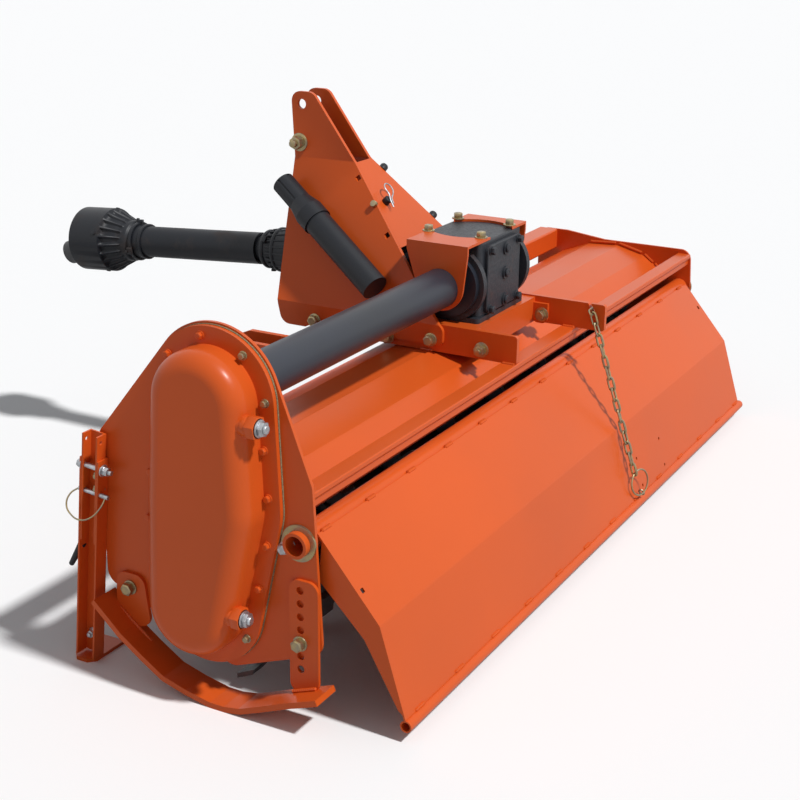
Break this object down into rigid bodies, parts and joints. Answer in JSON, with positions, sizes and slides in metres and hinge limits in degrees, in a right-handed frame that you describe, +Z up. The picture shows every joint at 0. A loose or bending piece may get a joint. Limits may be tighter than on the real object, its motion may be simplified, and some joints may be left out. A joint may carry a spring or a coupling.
{
  "type": "three-point rotary tiller",
  "caption": "Three-point PTO rotary tiller: tined rotor under a hood between end plates, side chain case, gearbox, mast, telescoping driveline, hinged tailgate on a chain and parking stand.",
  "frame": {"origin": "on the ground below the middle of the whole machine's box, driveline included", "axes": "+X along the rotor to the side away from the chain case, +Y forward to the tractor, +Z up"},
  "size_m": [1.878, 1.3803, 0.843],
  "materials": {
    "orange_paint": "gloss orange paint",
    "black_paint": "semi-gloss black paint",
    "black_casting": "rough casting painted black",
    "black_plastic": "moulded black plastic",
    "zinc": "yellow zinc plate",
    "steel": "machined steel",
    "gasket": "pressed fibre gasket",
    "tine_steel": "forged steel, dark paint"
  },
  "bodies": {
    "frame": {"left_end_plate": "orange_paint", "right_end_plate": "orange_paint", "front_tube": "orange_paint", "hood": "orange_paint", "rear_lip": "orange_paint", "bar_left": "orange_paint", "bar_right": "orange_paint", "gearbox_mount": "orange_paint", "gearbox_housing": "black_casting", "gearbox_cover": "black_casting", "shield_left": "orange_paint", "shield_right": "orange_paint", "cross_tube": "black_paint", "input_guard": "black_plastic", "input_shaft": "steel", "mast_left": "orange_paint", "mast_right": "orange_paint", "mast_panel": "orange_paint", "driveline_rest": "orange_paint", "hitch_left": "orange_paint", "hitch_right": "orange_paint", "case_gasket": "gasket", "chain_case": "orange_paint", "right_hub": "orange_paint", "rotor_bearings": "black_casting", "skid_left": "orange_paint", "skid_right": "orange_paint", "stand_post": "orange_paint", "manual_holder": "black_plastic", "hinge_retainers": "zinc", "anchor_link": "zinc"},
    "rotor": {"rotor_shaft": "black_paint", "rotor_tines": "tine_steel"},
    "tailgate": {"gate_tube": "orange_paint", "gate_panel": "orange_paint", "gate_foot_tube": "orange_paint"},
    "chain": {"lift_chain": "zinc", "chain_ring": "zinc"},
    "driveline_rear": {"joint_cross": "steel", "driveline_inner": "steel", "driveline_bell": "black_plastic"},
    "driveline_front": {"driveline_outer": "black_plastic", "front_fork": "steel"},
    "yoke": {"pto_yoke": "steel"},
    "stand": {"stand_leg": "orange_paint"}
  },
  "joints": [
    {"name": "rotor_spin", "type": "hinge", "parent": "frame", "child": "rotor", "pos_m": [0, -0.32844, 0.168], "axis": [1, 0, 0], "continuous": true},
    {"name": "tailgate_lift", "type": "hinge", "parent": "frame", "child": "tailgate", "pos_m": [0, -0.50144, 0.304], "axis": [-1, 0, 0], "range_deg": [0, 60]},
    {"name": "chain_swing", "type": "hinge", "parent": "frame", "child": "chain", "pos_m": [0.131, -0.56444, 0.4237], "axis": [-1, 0, 0], "range_deg": [0, 54]},
    {"name": "driveline_lift", "type": "hinge", "parent": "frame", "child": "driveline_rear", "pos_m": [0, -0.07444, 0.514], "axis": [1, 0, 0], "range_deg": [0, 20]},
    {"name": "driveline_slide", "type": "slide", "parent": "driveline_rear", "child": "driveline_front", "axis": [0, 0.9972, -0.075], "range_m": [0, 0.2]},
    {"name": "yoke_spin", "type": "hinge", "parent": "driveline_front", "child": "yoke", "pos_m": [0, 0.57573, 0.46511], "axis": [0, 0.9184, -0.3955], "continuous": true},
    {"name": "stand_slide", "type": "slide", "parent": "frame", "child": "stand", "axis": [0, 0.0976, -0.9952], "range_m": [0, 0.15]}
  ],
  "couplings": [
    {"joint": "chain_swing", "follows": "tailgate_lift", "ratio": 0.9},
    {"joint": "yoke_spin", "follows": "rotor_spin", "ratio": 2.66}
  ]
}
